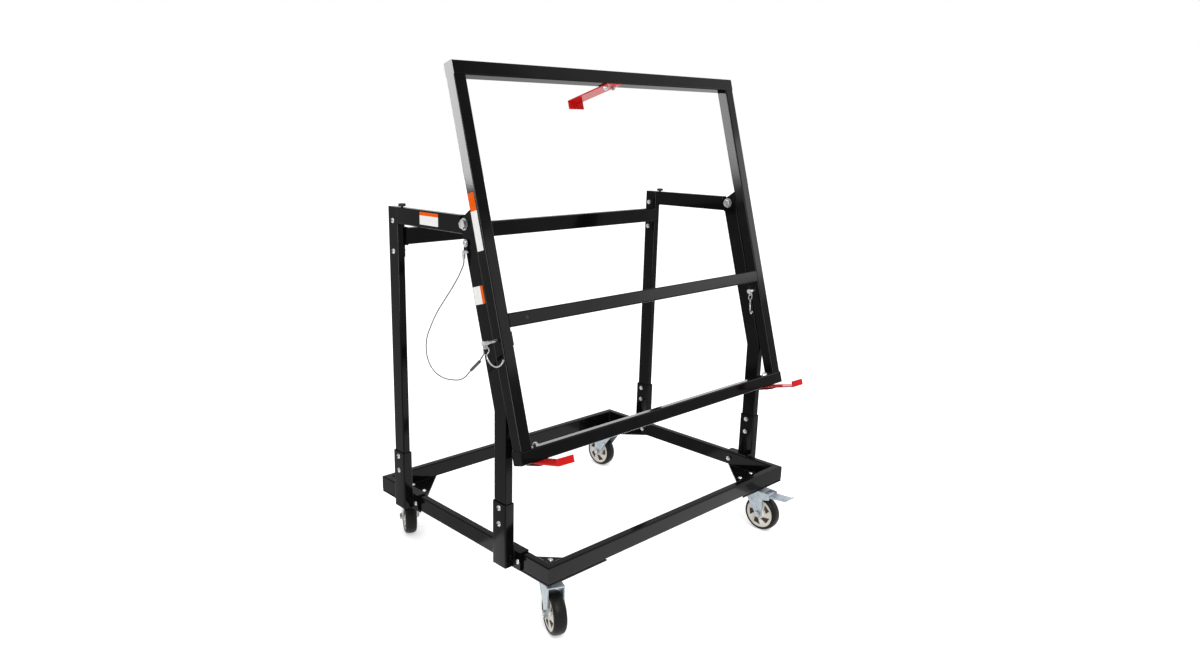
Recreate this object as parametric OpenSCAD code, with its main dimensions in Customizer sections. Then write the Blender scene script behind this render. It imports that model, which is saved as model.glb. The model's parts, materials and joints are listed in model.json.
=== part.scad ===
// Drywall cart: a rolling base of steel tube with four legs and a tilting table frame.
// Build coordinates: x = 0 on the centre line, y = 0 on the front face of the base, z = 0 on the floor.

/* [Base] */
// Width over the side bars
base_w = 902; // [760:1:1200]
// Depth over the front and rear bars
base_d = 672; // [640:1:900]
// Height of a base bar
bar_h = 40; // [34:1:60]
// Thickness of a base bar
bar_t = 20; // [16:1:22]
// Wall of the base and table tubes
tube_wall = 2; // [1.5:0.1:3]
// Outside corner radius of the tubes
tube_r = 3; // [2:0.5:4]
// Side of a triangular corner gusset
gusset_leg = 184; // [176:1:240]
// Thickness of a corner gusset
gusset_t = 5; // [3:0.5:8]

/* [Legs] */
// Width of a leg tube across the cart
leg_w = 20; // [18:1:24]
// Depth of a leg tube along the cart
leg_d = 40; // [36:1:44]
// Wall of a leg tube
leg_wall = 2; // [1.5:0.1:3]
// Distance of the front legs behind the front of the base
front_leg_y = 131; // [110:1:160]
// Distance of the rear legs behind the front of the base
rear_leg_y = 536; // [500:1:570]
// Height of the bend in a front leg above the floor
bend_h = 510; // [440:1:600]
// Height of the table pivot above the floor
pivot_h = 905; // [860:1:960]
// Lean of the table and the upper front legs from upright
lean = 16; // [12:0.5:20]
// Length of a front leg above its pivot
leg_over = 14; // [10:1:15]
// Height of an arm
arm_h = 40; // [30:1:44]
// Height of the arm top over the pivot
arm_rise = 17; // [8:1:18]
// Wall of a leg socket
socket_wall = 2.7; // [2:0.1:4]
// Height of a leg socket
socket_h = 152; // [120:1:200]
// Gap under a leg socket, over the underside of the base bars
socket_lift = 6; // [2:1:12]
// Thickness of the saddle plate between a socket and its bar
saddle_t = 6; // [4:0.5:8]
// Thickness of a saddle's flange over its bar
saddle_top_t = 4; // [3:0.5:6]
// Reach of a saddle past the middle of its leg
saddle_reach = 43; // [42:1:60]
// Height of the rear crossbar
cross_h = 40; // [30:1:44]
// Thickness of the rear crossbar
cross_t = 20; // [16:1:22]
// Drop of the crossbar's middle below the pivot
cross_drop = 53.5; // [50:0.5:70]
// Set of the crossbar in front of the rear legs' middle
cross_set = 17; // [15:0.5:18]
// Height of an end plate of the crossbar
flange_h = 102; // [98:1:120]
// Thickness of an end plate of the crossbar
flange_t = 4; // [3:0.5:6]

/* [Table] */
// Width of a table rail
rail_w = 31; // [28:0.5:34]
// Depth of a table rail
rail_d = 30; // [25:1:40]
// Height of the table frame along its lean
table_h = 865; // [850:1:980]
// Distance from the table's lower edge to the pivot
pivot_s = 528; // [480:1:532]
// Gap between a rail and the leg behind it
table_gap = 6; // [5:0.1:9]
// Distance from the table's lower edge to the top of the middle bar
middle_s = 324; // [310:1:420]
// Overhang of the bottom bar past each rail
bar_over = 3; // [0:0.5:8]
// Thickness of the red hook strips
hook_t = 3; // [2:0.5:4]
// Width of a bottom hook
hook_w = 41; // [30:1:50]
// Reach of a bottom hook from its bolt
hook_reach = 109; // [80:1:140]
// Height of a bottom hook's lip over the strip
hook_lip = 13; // [8:1:20]
// Distance of a hook bolt from the middle of its rail
hook_inset = 38; // [38:1:80]
// Turn of the left hook towards the left
left_hook_turn = 8; // [0:1:20]
// Turn of the right hook towards the left
right_hook_turn = 6; // [0:1:20]
// Width of the top hook
top_hook_w = 52; // [44:1:70]
// Reach of the top hook behind the table's face
top_hook_reach = 142; // [140:1:150]
// Length of the top hook's lip, with the strip
top_hook_lip = 22; // [15:1:22]
// Distance between the bolts of the top hook
top_hook_pitch = 28; // [24:1:32]

/* [Lock pins] */
// Diameter of a lock pin
pin_d = 8; // [6:0.5:10]
// Length of the left lock pin that stands out of its rail
left_pin_out = 38; // [36:1:50]
// Length of the right lock pin that stands out of its rail
right_pin_out = 30; // [30:1:50]
// Distance of a lock pin under the middle bar
pin_drop = 23; // [20:1:40]
// Thickness of a lock bracket's wing
wing_t = 4; // [3:0.5:5]
// Height of a lock bracket
bracket_h = 30; // [24:1:40]

/* [Casters] */
// Diameter of a wheel
wheel_d = 100; // [90:1:104]
// Width of a wheel
wheel_w = 32; // [26:1:36]
// Thickness of the tread
tread_t = 9; // [6:0.5:12]
// Height of a caster with its plate
caster_h = 135; // [133:1:150]
// Distance of a swivel axis from the outer faces of the base
caster_inset = 54; // [54:1:60]
// Side of a caster's top plate
plate_w = 74; // [70:1:80]
// Thickness of a caster's top plate
plate_t = 3; // [2:0.5:5]
// Bolt spacing of a caster's top plate
plate_pitch = 54; // [50:1:58]
// Set of the axle off the swivel axis
trail = 36; // [30:1:40]
// Diameter of an axle
axle_d = 10; // [8:0.5:12]
// Thickness of a fork's side plates
fork_t = 3; // [2:0.5:4]
// Reach of a brake pedal from the swivel axis
pedal_reach = 122; // [105:1:130]
// Width of a brake pedal
pedal_w = 34; // [24:1:34]

/* [Fasteners] */
// Diameter of the frame bolts
bolt_d = 8; // [6:0.5:10]
// Diameter of the pivot bolts
pivot_d = 12; // [10:0.5:14]
// Radius of a pivot washer
washer_r = 13; // [11:0.5:15]

/* [Hidden] */
$fn = 64;
// Radial clearance of a running fit, and the gap between faces that pass each other
fit = 0.05;
slip = 0.3;
far = 1200;
bar_z = caster_h + gusset_t;
socket_w = leg_w + 2 * (socket_wall + slip);
socket_d = leg_d + 2 * (socket_wall + slip);
socket_z = bar_z + socket_lift;
leg_x = base_w / 2 + saddle_t + socket_w / 2;
pivot_y = front_leg_y + (pivot_h - bend_h) * tan(lean);
pivot_n = rail_d + table_gap + leg_d / 2;
arm_top = pivot_h + arm_rise;
cross_z = pivot_h - cross_drop;
cross_y = rear_leg_y - cross_set;
table_w = 2 * leg_x + rail_w;
pin_s = middle_s - rail_w - pin_drop;
pin_n = rail_d / 2;
hook_x = leg_x - hook_inset;
bumper_top = pivot_h + pivot_n - rail_d - slip;
ear_t = (rail_w - leg_w) / 2 - slip;
washer_t = 2;
head_h = 7.5;
head_r = 10.4;
dome_r = bolt_d * 0.8;
dome_h = bolt_d * 0.55;
nut_h = bolt_d * 0.65;
axle_z = wheel_d / 2;
fork_gap = wheel_w / 2 + 2;
crown_z = caster_h - plate_t - 18;
crown_top = crown_z + 8;
kingpin_d = 10;
rim_r = wheel_d / 2 - tread_t;
pedal_x = trail + 22;
pedal_z = crown_z - 5;
pedal_pin_d = 6;
// The part's origin lies under the middle of its box: the left lock pin reaches further than the right bolt
left_reach = leg_x + rail_w / 2 + left_pin_out;
right_reach = leg_x + rail_w / 2 + washer_t + head_h;
origin_x = (left_reach - right_reach) / 2;
// Each corner: side of the cart, end of the cart and direction of the caster's trail
FL = [-1, -1, 246];
FR = [1, -1, 270];
RL = [-1, 1, 64];
RR = [1, 1, 90];
CORNERS = [FL, FR, RL, RR];
// Each leg: side of the cart, distance from the front and the way that its saddle runs
LEGS = [[-1, front_leg_y, -1], [1, front_leg_y, 1], [-1, rear_leg_y, -1], [1, rear_leg_y, -1]];
// Route of the lanyard from its upper ferrule to the lower one, from the pivot axis on the left leg's middle
lanyard_d = 3;
ferrule_d = 7;
lanyard_route = [
    [-18, 0, -74], [-18, 0, -82], [-19, 8, -100], [-22, 34, -138], [-25, 62, -172], [-28, 90, -207],
    [-30, 112, -242], [-32, 125, -270], [-33, 128, -296], [-35, 119, -321], [-37, 97, -340], [-39, 64, -349],
    [-41, 22, -347], [-43, -26, -333], [-44, -57, -307]];
ferrule_end = [-45, -88, -281];
// End of the cable's eye, which stops just behind the pin's ring
eye_end = [-52.3, -110, -260.8];

// Placing

// Moves from build coordinates to the part's own frame
module place() {
    translate([origin_x, -base_d / 2, 0]) children();
}

// Table coordinates: x across, y behind the table's face, z up its lean from the lower edge
module on_table() {
    place()
        translate([0, pivot_y, pivot_h])
            rotate([-lean, 0, 0])
                translate([0, -pivot_n, -pivot_s]) children();
}

// Corner coordinates: x and y run inwards from a corner of the base
module at_corner(c) {
    place()
        translate([c[0] * base_w / 2, c[1] < 0 ? 0 : base_d, 0])
            mirror([c[0] > 0 ? 1 : 0, 0, 0])
                mirror([0, c[1] > 0 ? 1 : 0, 0]) children();
}

// Caster coordinates: x along the trail from the swivel axis
module at_caster(c) {
    place()
        translate([
            c[0] * (base_w / 2 - caster_inset),
            c[1] < 0 ? caster_inset : base_d - caster_inset, 0])
            rotate([0, 0, c[2]]) children();
}

module at_leg(l) {
    place() translate([l[0] * leg_x, l[1], 0]) children();
}

// Shared shapes

module round_rect(w, h, r) {
    square([w - 2 * r, h], center = true);
    square([w, h - 2 * r], center = true);
    for (x = [-1, 1], y = [-1, 1])
        translate([x * (w / 2 - r), y * (h / 2 - r)]) circle(r);
}

module tube_section(w, h, wall) {
    difference() {
        round_rect(w, h, tube_r);
        round_rect(w - 2 * wall, h - 2 * wall, max(tube_r - wall, 0.5));
    }
}

// A domed bolt along +x: head outside x = 0, nut past x = grip
module bolt_x(d, grip, over = 3) {
    rotate([0, 90, 0]) {
        translate([0, 0, -dome_h / 2]) cylinder(d = d, h = dome_h / 2 + grip + nut_h + over);
        rotate_extrude() intersection() {
            translate([0, dome_r * 1.12 - dome_h]) circle(dome_r * 1.12);
            translate([0, -dome_h]) square([dome_r, dome_h]);
        }
        translate([0, 0, grip]) cylinder(r = dome_r * 1.08, h = nut_h, $fn = 6);
    }
}

// Base

module base_bar(l, turn) {
    rotate([0, 0, turn]) intersection() {
        rotate([0, 90, 0])
            linear_extrude(l, center = true) tube_section(bar_h, bar_t, tube_wall);
        linear_extrude(bar_h * 2, center = true)
            polygon([[-l / 2, -bar_t / 2], [l / 2, -bar_t / 2],
                [l / 2 - bar_t, bar_t / 2], [bar_t - l / 2, bar_t / 2]]);
    }
}

module saddle_bolt_hole(y) {
    translate([-far / 2, y, bar_z + bar_h / 2])
        rotate([0, 90, 0]) cylinder(d = bolt_d + 2 * fit, h = far);
}

module front_base_bar() {
    color("#1b1b1d") place()
        translate([0, bar_t / 2, bar_z + bar_h / 2]) base_bar(base_w, 0);
}

module rear_base_bar() {
    color("#1b1b1d") place()
        translate([0, base_d - bar_t / 2, bar_z + bar_h / 2]) base_bar(base_w, 180);
}

module side_base_bar(side) {
    color("#1b1b1d") place() difference() {
        translate([side * (base_w - bar_t) / 2, base_d / 2, bar_z + bar_h / 2])
            base_bar(base_d, side * 90);
        for (l = LEGS) if (l[0] == side) saddle_bolt_hole(saddle_bolt_y(l));
    }
}

module left_base_bar() { side_base_bar(-1); }

module right_base_bar() { side_base_bar(1); }

module corner_gussets() {
    color("#1b1b1d") for (c = CORNERS) at_corner(c) translate([0, 0, caster_h])
        linear_extrude(gusset_t) difference() {
            polygon([[0, 0], [gusset_leg, 0], [0, gusset_leg]]);
            plate_bolts() circle(d = bolt_d + 2 * fit);
        }
}

module plate_bolts() {
    for (x = [-1, 1], y = [-1, 1])
        translate([caster_inset + x * plate_pitch / 2, caster_inset + y * plate_pitch / 2]) children();
}

module caster_bolts() {
    color("#c9cdd2") for (c = CORNERS) at_corner(c) plate_bolts()
        translate([0, 0, bar_z]) rotate([0, 90, 0]) bolt_x(bolt_d, gusset_t + plate_t, 1);
}

// Legs

function saddle_bolt_y(l) = l[1] + l[2] * (saddle_reach - 9);

socket_bolt_z = [socket_h - 12, socket_h - 50];

module leg_socket(l) {
    inner = -l[0];
    color("#1b1b1d") at_leg(l) difference() {
        union() {
            translate([0, 0, socket_z]) linear_extrude(socket_h)
                round_rect(socket_w, socket_d, tube_r);
            translate([inner * (socket_w + saddle_t) / 2, l[2] * (saddle_reach - socket_d / 2) / 2, bar_z]) {
                linear_extrude(bar_h + saddle_top_t)
                    square([saddle_t, saddle_reach + socket_d / 2], center = true);
                translate([inner * bar_t / 2, 0, bar_h]) linear_extrude(saddle_top_t)
                    square([bar_t + saddle_t, saddle_reach + socket_d / 2], center = true);
            }
        }
        translate([0, 0, socket_z - 1]) linear_extrude(socket_h + 2)
            round_rect(leg_w + 2 * slip, leg_d + 2 * slip, slip);
        socket_bolt_holes();
        saddle_bolt_hole(saddle_bolt_y(l) - l[1]);
    }
}

module front_left_socket() { leg_socket(LEGS[0]); }

module front_right_socket() { leg_socket(LEGS[1]); }

module rear_left_socket() { leg_socket(LEGS[2]); }

module rear_right_socket() { leg_socket(LEGS[3]); }

module socket_bolt_holes() {
    for (z = socket_bolt_z) translate([-far / 2, 0, socket_z + z])
        rotate([0, 90, 0]) cylinder(d = bolt_d + 2 * fit, h = far);
}

// Side outline of a front leg's bent tube: half its depth, the drop of its foot and the wall at its top
function leg_outline(half, low, end_wall) =
    let (
        up = (pivot_h - bend_h) / cos(lean) + leg_over - end_wall,
        turn = half * tan(lean / 2),
        top = [up * sin(lean), bend_h + up * cos(lean)],
        side = half * [cos(lean), -sin(lean)])
    [[-half, socket_z - low], [half, socket_z - low], [half, bend_h - turn],
        top + side, top - side, [-half, bend_h + turn]];

module front_leg(l) {
    color("#1b1b1d") at_leg(l) difference() {
        rotate([90, 0, 90]) linear_extrude(leg_w, center = true)
            polygon(leg_outline(leg_d / 2, 0, 0));
        rotate([90, 0, 90]) linear_extrude(leg_w - 2 * leg_wall, center = true)
            polygon(leg_outline(leg_d / 2 - leg_wall, 1, leg_wall));
        socket_bolt_holes();
        translate([-leg_w, pivot_y - front_leg_y, pivot_h])
            rotate([0, 90, 0]) cylinder(d = pivot_d + 2 * fit, h = 2 * leg_w);
    }
}

module front_left_leg() { front_leg(LEGS[0]); }

module front_right_leg() { front_leg(LEGS[1]); }

cross_bolt_z = [cross_z + flange_h / 2 - 14, cross_z - flange_h / 2 + 14];

module rear_leg(l) {
    color("#1b1b1d") at_leg(l) difference() {
        translate([0, 0, socket_z]) linear_extrude(arm_top - socket_z) round_rect(leg_w, leg_d, tube_r);
        translate([0, 0, socket_z - 1]) linear_extrude(arm_top - socket_z - leg_wall + 1)
            round_rect(leg_w - 2 * leg_wall, leg_d - 2 * leg_wall, max(tube_r - leg_wall, 0.5));
        socket_bolt_holes();
        for (z = cross_bolt_z) translate([-leg_w, 0, z])
            rotate([0, 90, 0]) cylinder(d = bolt_d + 2 * fit, h = 2 * leg_w);
    }
}

module rear_left_leg() { rear_leg(LEGS[2]); }

module rear_right_leg() { rear_leg(LEGS[3]); }

module arm(side) {
    l = rear_leg_y - leg_d / 2;
    color("#1b1b1d") place() difference() {
        translate([side * leg_x, l, arm_top - arm_h / 2]) rotate([90, 0, 0])
            linear_extrude(l - pivot_y) tube_section(leg_w, arm_h, leg_wall);
        translate([side * leg_x, pivot_y, pivot_h]) rotate([-lean, 0, 0])
            translate([-leg_w, -far + leg_d / 2, -far / 2]) cube([2 * leg_w, far, far]);
        translate([side * leg_x, bumper_y, arm_top - arm_h / 2]) cylinder(d = stud_d, h = arm_h);
    }
}

module left_arm() { arm(-1); }

module right_arm() { arm(1); }

bumper_y = rear_leg_y - leg_d / 2 - 7;
bumper_r = 9;
stud_d = 6;

module table_bumpers() {
    color("#141414") for (side = [-1, 1]) place() translate([side * leg_x, bumper_y, 0]) {
        translate([0, 0, arm_top - leg_wall]) cylinder(d = stud_d - 2 * fit, h = leg_wall + 3);
        translate([0, 0, arm_top + 2]) rotate_extrude() {
            square([bumper_r, bumper_top - arm_top - 4]);
            square([bumper_r - 2, bumper_top - arm_top - 2]);
            translate([bumper_r - 2, bumper_top - arm_top - 4]) circle(2);
        }
    }
}

// Crossbar with an end plate on each leg's inner face, narrower than the leg, and a tongue over the bar's end
module rear_crossbar() {
    half = leg_x - leg_w / 2;
    plate_d = leg_d - 10;
    back = cross_set + plate_d / 2;
    front = cross_t / 2;
    color("#1b1b1d") place() translate([0, cross_y, cross_z]) {
        rotate([0, 90, 0]) linear_extrude(2 * (half - flange_t), center = true)
            tube_section(cross_h, cross_t, tube_wall);
        for (side = [-1, 1]) difference() {
            translate([side * (half - flange_t / 2), 0, 0]) {
                translate([0, cross_set, 0]) cube([flange_t, plate_d, flange_h], center = true);
                translate([0, (back - front) / 2, 0]) cube([flange_t, back + front, cross_h], center = true);
            }
            for (z = cross_bolt_z) translate([-far, cross_set, z - cross_z])
                rotate([0, 90, 0]) cylinder(d = bolt_d + 2 * fit, h = 2 * far);
        }
    }
}

// Bolts through the sockets, the saddles and the crossbar's end plates
module leg_bolts() {
    color("#c9cdd2") for (l = LEGS) at_leg(l) mirror([l[0] > 0 ? 1 : 0, 0, 0]) {
        for (z = socket_bolt_z) translate([-socket_w / 2, 0, socket_z + z]) bolt_x(bolt_d, socket_w);
        translate([socket_w / 2, saddle_bolt_y(l) - l[1], bar_z + bar_h / 2])
            bolt_x(bolt_d, saddle_t + bar_t);
        if (l[1] == rear_leg_y) for (z = cross_bolt_z)
            translate([-leg_w / 2, 0, z]) bolt_x(bolt_d, leg_w + flange_t);
    }
}

// An angle welded to each front leg: the rail rests on its base, and the pin enters its wing
module lock_brackets() {
    base_n = rail_d + slip;
    wing_x = rail_w / 2 + 0.5;
    color("#1b1b1d") for (side = [-1, 1]) on_table()
        translate([side * leg_x, 0, pin_s - bracket_h / 2]) difference() {
            linear_extrude(bracket_h) {
                translate([-leg_w / 2, base_n])
                    square([leg_w / 2 + wing_x + wing_t, rail_d + table_gap - base_n]);
                translate([wing_x, pin_n - 11]) square([wing_t, base_n - pin_n + 12]);
            }
            translate([0, pin_n, bracket_h / 2]) rotate([0, 90, 0])
                cylinder(d = pin_d + 1, h = far);
        }
}

// Table frame

module cross_tube(l, s, end_wall) {
    translate([0, rail_d / 2, s]) rotate([0, 90, 0]) difference() {
        linear_extrude(l, center = true) round_rect(rail_w, rail_d, tube_r);
        linear_extrude(l - 2 * end_wall, center = true)
            round_rect(rail_w - 2 * tube_wall, rail_d - 2 * tube_wall, max(tube_r - tube_wall, 0.5));
    }
}

module rail(side) {
    color("#1b1b1d") on_table() difference() {
        translate([side * leg_x, rail_d / 2, rail_w])
            linear_extrude(table_h - 2 * rail_w) tube_section(rail_w, rail_d, tube_wall);
        translate([side * leg_x, pin_n, pin_s]) rotate([0, 90, 0])
            cylinder(d = pin_d + 2 * fit, h = 2 * rail_w, center = true);
    }
}

module left_rail() { rail(-1); }

module right_rail() { rail(1); }

module top_bar() {
    color("#1b1b1d") on_table() difference() {
        cross_tube(table_w, table_h - rail_w / 2, tube_wall);
        for (side = [-1, 1]) translate([side * top_hook_pitch / 2, top_hook_bolt_n, table_h - 2 * rail_w])
            cylinder(d = bolt_d + 2 * fit, h = 3 * rail_w);
    }
}

module middle_bar() {
    color("#1b1b1d") on_table()
        cross_tube(2 * leg_x - rail_w, middle_s - rail_w / 2, -1);
}

module bottom_bar() {
    color("#1b1b1d") on_table() difference() {
        cross_tube(table_w + 2 * bar_over, rail_w / 2, tube_wall);
        for (side = [-1, 1]) translate([side * hook_x, rail_d / 2, -rail_w])
            cylinder(d = bolt_d + 2 * fit, h = 3 * rail_w);
    }
}

// Two plates on the back of each rail straddle the leg's top and carry the pivot bolt
module pivot_ears() {
    ear_r = 17;
    ear_half = 26;
    color("#1b1b1d") for (side = [-1, 1], face = [-1, 1]) on_table()
        translate([side * leg_x + face * (leg_w / 2 + slip + ear_t / 2), 0, 0])
            rotate([90, 0, 90]) linear_extrude(ear_t, center = true) difference() {
                union() {
                    polygon([[rail_d, pivot_s - ear_half], [rail_d, pivot_s + ear_half],
                        [pivot_n, pivot_s + ear_r], [pivot_n, pivot_s - ear_r]]);
                    translate([pivot_n, pivot_s]) circle(ear_r);
                }
                translate([pivot_n, pivot_s]) circle(d = pivot_d + 2 * fit);
            }
}

module pivot_bolts() {
    grip = rail_w / 2 + washer_t;
    color("#c9cdd2") for (side = [-1, 1]) on_table()
        translate([side * leg_x, pivot_n, pivot_s]) mirror([side < 0 ? 0 : 1, 0, 0]) rotate([0, 90, 0]) {
            translate([0, 0, -grip - head_h]) cylinder(r = head_r, h = head_h, $fn = 6);
            translate([0, 0, -grip - head_h / 2]) cylinder(d = pivot_d, h = 2 * grip + 1.5 * head_h + 4);
            translate([0, 0, grip]) cylinder(r = head_r, h = head_h, $fn = 6);
        }
}

module pivot_washers() {
    color("#c9cdd2") for (side = [-1, 1], face = [-1, 1]) on_table()
        translate([side * leg_x + face * (rail_w + washer_t) / 2, pivot_n, pivot_s])
            rotate([0, 90, 0]) difference() {
                cylinder(r = washer_r, h = washer_t, center = true);
                cylinder(d = pivot_d + 2 * fit, h = 2 * washer_t, center = true);
            }
}

// Hooks

top_hook_bolt_n = 18;

module top_hook() {
    under = table_h - rail_w;
    color("#d02a22") on_table() difference() {
        translate([-top_hook_w / 2, 0, 0]) rotate([90, 0, 90]) linear_extrude(top_hook_w) union() {
            translate([0, under - hook_t]) square([top_hook_reach, hook_t]);
            translate([top_hook_reach - hook_t, under - top_hook_lip]) square([hook_t, top_hook_lip]);
        }
        for (side = [-1, 1]) translate([side * top_hook_pitch / 2, top_hook_bolt_n, under - 2 * rail_w])
            cylinder(d = bolt_d + 2 * fit, h = 3 * rail_w);
    }
}

module top_hook_bolts() {
    color("#c9cdd2") for (side = [-1, 1]) on_table()
        translate([side * top_hook_pitch / 2, top_hook_bolt_n, table_h])
            rotate([0, 90, 0]) bolt_x(bolt_d, rail_w + hook_t);
}

// A flat strip with a rounded tail and a turned-up lip, which turns on its bolt
module bottom_hook(side, turn) {
    color("#d02a22") on_table() translate([side * hook_x, rail_d / 2, -slip - hook_t])
        rotate([0, 0, -turn]) difference() {
            union() {
                linear_extrude(hook_t) {
                    circle(hook_w / 2);
                    translate([-hook_w / 2, -hook_reach]) square([hook_w, hook_reach]);
                }
                translate([-hook_w / 2, -hook_reach, 0]) cube([hook_w, hook_t, hook_t + hook_lip]);
            }
            translate([0, 0, -1]) cylinder(d = bolt_d + 2 * fit, h = hook_t + 2);
        }
}

module left_hook() { bottom_hook(-1, left_hook_turn); }

module right_hook() { bottom_hook(1, right_hook_turn); }

keeper_t = 4;

module hook_keepers() {
    keeper_w = hook_w + 3;
    keeper_l = hook_w + 9;
    set = 5;
    color("#1b1b1d") for (side = [-1, 1]) on_table()
        translate([side * hook_x, rail_d / 2 - set, -2 * slip - hook_t - keeper_t]) linear_extrude(keeper_t)
            difference() {
                round_rect(keeper_w, keeper_l, 2 * tube_r);
                translate([0, set]) circle(d = bolt_d + 2 * fit);
            }
}

module hook_bolts() {
    grip = rail_w + 2 * slip + hook_t + keeper_t;
    color("#c9cdd2") for (side = [-1, 1]) on_table()
        translate([side * hook_x, rail_d / 2, rail_w - grip])
            rotate([0, -90, 0]) bolt_x(bolt_d, grip);
}

// Lock pins and lanyard

module at_pin(side) {
    on_table() translate([side * leg_x - rail_w / 2, pin_n, pin_s]) children();
}

ring_x = 6;
ring_r = 8;
wire_d = 2.4;
collar_r = pin_d / 2 + 2;
lug_t = 3;
lug_hole_z = -collar_r - 2.2;
// Fall of the ring's wire across the lug
ring_sag = ring_r - sqrt(ring_r * ring_r - lug_t * lug_t / 4);
bail_d = 3.6;
bail_r = 30;
bail_turn = 140;
// Each pin: side of the cart, length outside its rail, and the bail's turn to the side and dip
LEFT_PIN = [-1, left_pin_out, 0, 0];
RIGHT_PIN = [1, right_pin_out, -48, 25];

// Straight pin with a drilled lug at its outer end, drawn back so that its tip stays inside the rail
module lock_pin(p) {
    lug_h = pin_d / 2 - lug_hole_z;
    color("#d7dade") at_pin(p[0]) difference() {
        union() {
            translate([-p[1], 0, 0]) rotate([0, 90, 0]) cylinder(d = pin_d, h = p[1] + rail_w - 1);
            translate([-p[1], 0, 0]) rotate([0, 90, 0]) cylinder(r = collar_r, h = ring_x * 2);
            translate([ring_x - p[1], 0, -lug_h / 2]) cube([lug_t, pin_d, lug_h], center = true);
        }
        translate([ring_x - p[1], 0, lug_hole_z]) rotate([0, 90, 0])
            cylinder(r = wire_d / 2 + ring_sag + fit, h = 2 * lug_t, center = true);
    }
}

module left_lock_pin() { lock_pin(LEFT_PIN); }

module right_lock_pin() { lock_pin(RIGHT_PIN); }

// Ring in the lug and a wire bail that swings forward from the foot of the ring
module pin_bail(p) {
    color("#d7dade") at_pin(p[0]) translate([ring_x - p[1], 0, lug_hole_z]) rotate([lean, 0, 0]) {
        translate([0, 0, -ring_r]) rotate([90, 0, 0]) rotate_extrude()
            translate([ring_r, 0]) circle(d = wire_d, $fn = 24);
        translate([0, -wire_d / 3, -2 * ring_r]) rotate([0, 0, p[2]]) rotate([p[3], 0, 0])
            translate([0, -bail_r * sin(bail_turn / 2), bail_r * cos(bail_turn / 2)])
                rotate([90, 0, 90]) rotate([0, 0, -90 - bail_turn / 2])
                    rotate_extrude(angle = bail_turn) translate([bail_r, 0]) circle(d = bail_d, $fn = 32);
    }
}

module left_pin_bail() { pin_bail(LEFT_PIN); }

module right_pin_bail() { pin_bail(RIGHT_PIN); }

// Points of the lanyard in build coordinates
function lanyard_point(p) = [p[0] - leg_x, p[1] + pivot_y, p[2] + pivot_h];
function unit(v) = v / norm(v);
function ring_dir(pts, i) =
    unit(pts[min(i + 1, len(pts) - 1)] - pts[max(i - 1, 0)]);

// A round tube through a list of points, with rings square to its path
module swept_tube(pts, d, sides) {
    n = len(pts);
    rings = [for (i = [0 : n - 1])
        let (t = ring_dir(pts, i), a = unit(cross(t, [1, 0, 0])), b = cross(a, t))
        for (k = [0 : sides - 1]) pts[i] + d / 2 * (a * cos(k * 360 / sides) + b * sin(k * 360 / sides))];
    walls = [for (i = [0 : n - 2], k = [0 : sides - 1])
        let (j = (k + 1) % sides)
        each [[i * sides + k, (i + 1) * sides + k, (i + 1) * sides + j],
            [i * sides + k, (i + 1) * sides + j, i * sides + j]]];
    first = [for (k = [1 : sides - 2]) [0, k, k + 1]];
    last = [for (k = [1 : sides - 2]) [(n - 1) * sides, (n - 1) * sides + k + 1, (n - 1) * sides + k]];
    polyhedron(rings, concat(walls, first, last));
}

module lanyard() {
    color("#9aa0a6") place()
        swept_tube([for (p = lanyard_route) lanyard_point(p)], lanyard_d, 8);
}

// A straight round sleeve between two points
module sleeve(a, b, d) {
    v = b - a;
    translate(a) rotate([0, acos(v[2] / norm(v)), atan2(v[1], v[0])]) cylinder(d = d, h = norm(v));
}

module lanyard_ferrule() {
    start = lanyard_point(lanyard_route[len(lanyard_route) - 1]);
    end = lanyard_point(ferrule_end);
    color("#3a302b") place() {
        sleeve(start, end, ferrule_d);
        sleeve(end - (end - start) / 8, lanyard_point(eye_end), lanyard_d);
    }
}

// Bolt, clip plate and crimped ferrule on the left leg's outer face
module lanyard_clip() {
    first = lanyard_route[0];
    face_x = -leg_w / 2;
    clip_t = 3;
    clip_r = 9;
    clip_w = 14;
    bolt_z = -41;
    strap_h = 6;
    foot_z = first[2] + 16;
    color("#e6e6e4") place() translate([-leg_x, pivot_y, pivot_h]) {
        translate([face_x - clip_t, 0, bolt_z]) rotate([0, 90, 0]) {
            cylinder(r = clip_r, h = clip_t);
            translate([0, 0, -4]) cylinder(r = 6, h = 5);
        }
        translate([face_x - clip_t, -clip_w / 2, foot_z]) cube([clip_t, clip_w, bolt_z - foot_z]);
        translate(first) cylinder(d = ferrule_d, h = foot_z - first[2] + 2);
        translate([first[0], -5, foot_z - 4]) cube([face_x - first[0], 10, strap_h]);
    }
}

// Casters

module caster_plates() {
    race_r = 27;
    race_rim = 4;
    race_taper = 6;
    race_z = crown_top + slip;
    color("#aeb9c4") for (c = CORNERS) at_corner(c) translate([caster_inset, caster_inset, 0]) difference() {
        union() {
            translate([0, 0, caster_h - plate_t]) linear_extrude(plate_t) round_rect(plate_w, plate_w, 6);
            rotate_extrude() polygon([[0, race_z], [race_r, race_z], [race_r, race_z + race_rim],
                [race_r - race_taper, caster_h - plate_t], [0, caster_h - plate_t]]);
        }
        translate([-caster_inset, -caster_inset, 0]) plate_bolts()
            cylinder(d = bolt_d + 2 * fit, h = far);
        cylinder(d = kingpin_d + 2 * fit, h = far);
    }
}

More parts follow.
